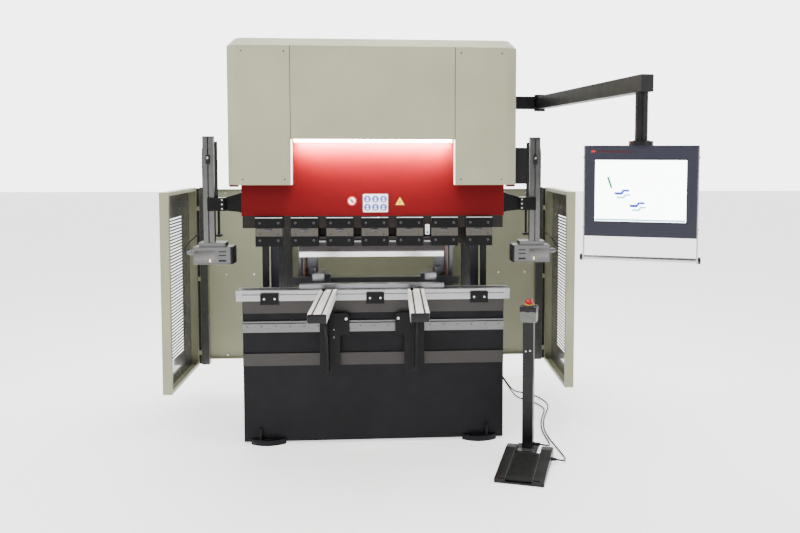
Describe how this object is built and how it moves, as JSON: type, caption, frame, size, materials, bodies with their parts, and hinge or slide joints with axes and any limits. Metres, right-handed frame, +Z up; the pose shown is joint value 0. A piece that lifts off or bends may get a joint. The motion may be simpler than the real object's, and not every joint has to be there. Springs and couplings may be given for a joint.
{
  "type": "press brake",
  "caption": "Compact hydraulic press brake with hooded ram, segmented punch holders, V die, sheet supports, light-curtain posts, side guards, pendant panel and foot control.",
  "frame": {"origin": "on the floor, at the centre of the four anchor holes in the foot pads", "axes": "+X along the bed to the operator's right, +Y towards the back of the machine, +Z up"},
  "size_m": [2.76, 2.5941, 2.312],
  "materials": {
    "anthracite_paint": "satin powder coat, fine orange peel",
    "machined_grey": "blued machined steel plate",
    "ground_steel": "ground, lightly oiled",
    "tool_steel": "hardened and ground",
    "black_oxide": "black oxide",
    "hood_paint": "grey-green powder coat",
    "ram_red": "satin red paint",
    "hard_chrome": "hard chrome",
    "anodised": "clear anodised",
    "laser_housing": "bead blasted",
    "light_strip": "diffuser",
    "black_plastic": "moulded",
    "panel_dark": "dark blue-grey powder coat",
    "screen_glass": "lit display",
    "stainless": "polished tube",
    "foot_paint": "black enamel",
    "box_grey": "moulded, two colours",
    "stop_red": "moulded",
    "cable_black": "PVC sheath",
    "gauge_metal": "milled"
  },
  "bodies": {
    "root": {"side_frames": "anthracite_paint", "bed_beam": "anthracite_paint", "bed_plates": "machined_grey", "die_rail": "ground_steel", "die": "tool_steel", "die_clamps": "black_oxide", "arm_rail": "ground_steel", "rear_beam": "anthracite_paint", "foot_pads": "anthracite_paint", "level_bolts": "black_oxide", "hydraulic_unit": "anthracite_paint", "cylinders": "anthracite_paint", "ram_guides": "ground_steel", "linear_scales": "black_oxide", "hood_frame": "machined_grey", "hood_sides": "hood_paint", "hood_centre": "hood_paint", "hood_top": "hood_paint", "light_bar": "light_strip", "rear_cover": "hood_paint", "junction_box": "black_plastic", "cabinet": "hood_paint", "guard_panels": "hood_paint", "pendant_bracket": "black_oxide", "gauge_rails": "ground_steel", "foot_base": "foot_paint", "stop_post": "foot_paint", "stop_box": "box_grey", "cable_glands": "black_plastic", "pedal_cable": "cable_black", "stop_cable": "cable_black"},
    "ram": {"ram_plate": "ram_red", "clamp_bar": "machined_grey", "holder_bodies": "ground_steel", "holder_plates": "black_oxide", "punch": "tool_steel", "piston_rods": "hard_chrome", "laser_brackets": "black_oxide"},
    "laser_left": {"laser_post_left": "anodised", "laser_head_left": "laser_housing"},
    "laser_right": {"laser_post_right": "anodised", "laser_head_right": "laser_housing"},
    "side_door_left": {"door_left": "hood_paint"},
    "side_door_right": {"door_right": "hood_paint"},
    "rear_door": {"cabinet_door": "hood_paint"},
    "pendant": {"pendant_arm": "black_oxide"},
    "panel": {"pendant_post": "panel_dark", "panel_case": "panel_dark", "panel_screen": "screen_glass", "panel_handle": "stainless"},
    "arm_left": {"support_arm_left": "anodised", "arm_bracket_left": "black_oxide"},
    "arm_right": {"support_arm_right": "anodised", "arm_bracket_right": "black_oxide"},
    "gauge": {"gauge_carriage": "gauge_metal"},
    "gauge_lift": {"gauge_beam": "gauge_metal"},
    "stop_left": {"finger_left": "gauge_metal"},
    "stop_right": {"finger_right": "gauge_metal"},
    "pedal": {"foot_pedal": "black_plastic"},
    "mushroom": {"stop_button": "stop_red"}
  },
  "joints": [
    {"name": "ram_slide", "type": "slide", "parent": "root", "child": "ram", "axis": [0, 0, -1], "range_m": [0, 0.15]},
    {"name": "laser_left_height", "type": "slide", "parent": "ram", "child": "laser_left", "axis": [0, 0, 1], "range_m": [-0.12, 0.1]},
    {"name": "laser_right_height", "type": "slide", "parent": "ram", "child": "laser_right", "axis": [0, 0, 1], "range_m": [-0.12, 0.1]},
    {"name": "door_left_hinge", "type": "hinge", "parent": "root", "child": "side_door_left", "pos_m": [-1.302, 0.5, 0.819], "axis": [0, 0, -1], "range_deg": [0, 100]},
    {"name": "door_right_hinge", "type": "hinge", "parent": "root", "child": "side_door_right", "pos_m": [1.252, 0.5, 0.819], "axis": [0, 0, 1], "range_deg": [0, 100]},
    {"name": "cabinet_door_hinge", "type": "hinge", "parent": "root", "child": "rear_door", "pos_m": [1.112, 0.829, 0.825], "axis": [0, 0, -1], "range_deg": [0, 110]},
    {"name": "pendant_swing", "type": "hinge", "parent": "root", "child": "pendant", "pos_m": [1, -0.265, 1.982], "axis": [0, 0, 1], "range_deg": [-20, 75]},
    {"name": "panel_swivel", "type": "hinge", "parent": "pendant", "child": "panel", "pos_m": [1.19984, -1.61832, 1.96], "axis": [0, 0, 1], "range_deg": [-60, 60]},
    {"name": "arm_left_slide", "type": "slide", "parent": "root", "child": "arm_left", "axis": [1, 0, 0], "range_m": [-0.4, 0.1]},
    {"name": "arm_right_slide", "type": "slide", "parent": "root", "child": "arm_right", "axis": [1, 0, 0], "range_m": [-0.1, 0.4]},
    {"name": "gauge_depth", "type": "slide", "parent": "root", "child": "gauge", "axis": [0, 1, 0], "range_m": [0, 0.4]},
    {"name": "gauge_height", "type": "slide", "parent": "gauge", "child": "gauge_lift", "axis": [0, 0, 1], "range_m": [-0.05, 0.15]},
    {"name": "stop_left_slide", "type": "slide", "parent": "gauge_lift", "child": "stop_left", "axis": [1, 0, 0], "range_m": [-0.12, 0.2]},
    {"name": "stop_right_slide", "type": "slide", "parent": "gauge_lift", "child": "stop_right", "axis": [1, 0, 0], "range_m": [-0.2, 0.12]},
    {"name": "pedal_press", "type": "hinge", "parent": "root", "child": "pedal", "pos_m": [0.74424, -1.16246, 0.024], "axis": [-0.9511, 0.309, 0], "range_deg": [0, 5], "stiffness_Nm_per_rad": 20, "springref_deg": -8.59},
    {"name": "stop_press", "type": "slide", "parent": "root", "child": "mushroom", "axis": [0, 0, -1], "range_m": [0, 0.006], "stiffness_N_per_m": 800, "springref_m": -0.003}
  ]
}
